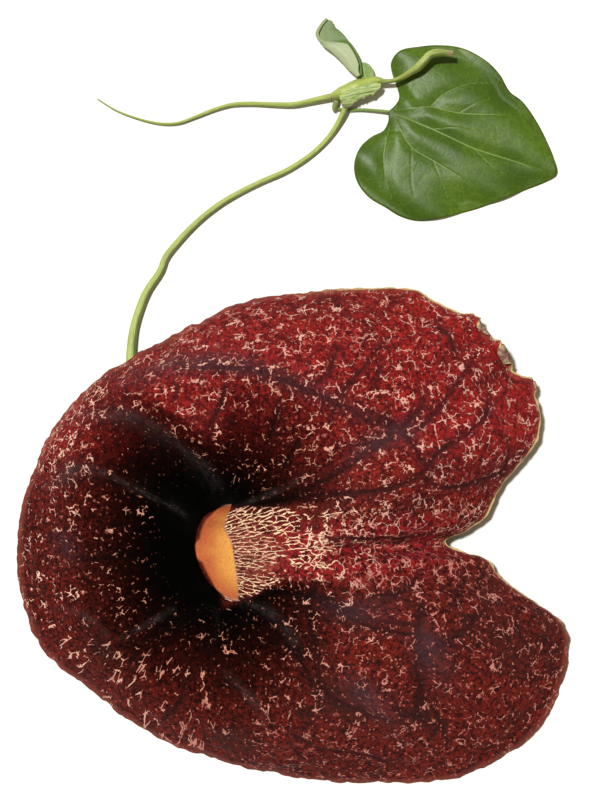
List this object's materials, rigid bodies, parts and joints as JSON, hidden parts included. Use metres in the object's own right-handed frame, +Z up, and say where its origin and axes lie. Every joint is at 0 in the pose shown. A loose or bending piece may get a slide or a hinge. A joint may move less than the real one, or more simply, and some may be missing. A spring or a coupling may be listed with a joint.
{
  "type": "giant dutchman's pipe flower",
  "caption": "Cut flower of a climbing vine laid face up: broad notched limb, bent tube and inflated sac, on a long stalk with a piece of vine and a heart-shaped leaf.",
  "frame": {"origin": "bottom centre of the whole laid-out piece, on the table that it lies on", "axes": "+Z up, out of the face of the flower; +Y from the flower along its stalk towards the leaf; +X towards the notch of the limb"},
  "size_m": [0.1649, 0.2289, 0.0319],
  "materials": {
    "perianth": "matte",
    "column": "matte",
    "stem": "satin",
    "leaf": "satin",
    "young_growth": "satin"
  },
  "bodies": {
    "root": {"perianth": "perianth", "gynostemium": "column", "peduncle": "stem", "vine_stem": "stem", "leaf_petiole": "stem", "leaf_blade": "leaf", "node_bract": "young_growth", "young_leaf": "young_growth", "small_leaf": "young_growth"}
  },
  "joints": []
}
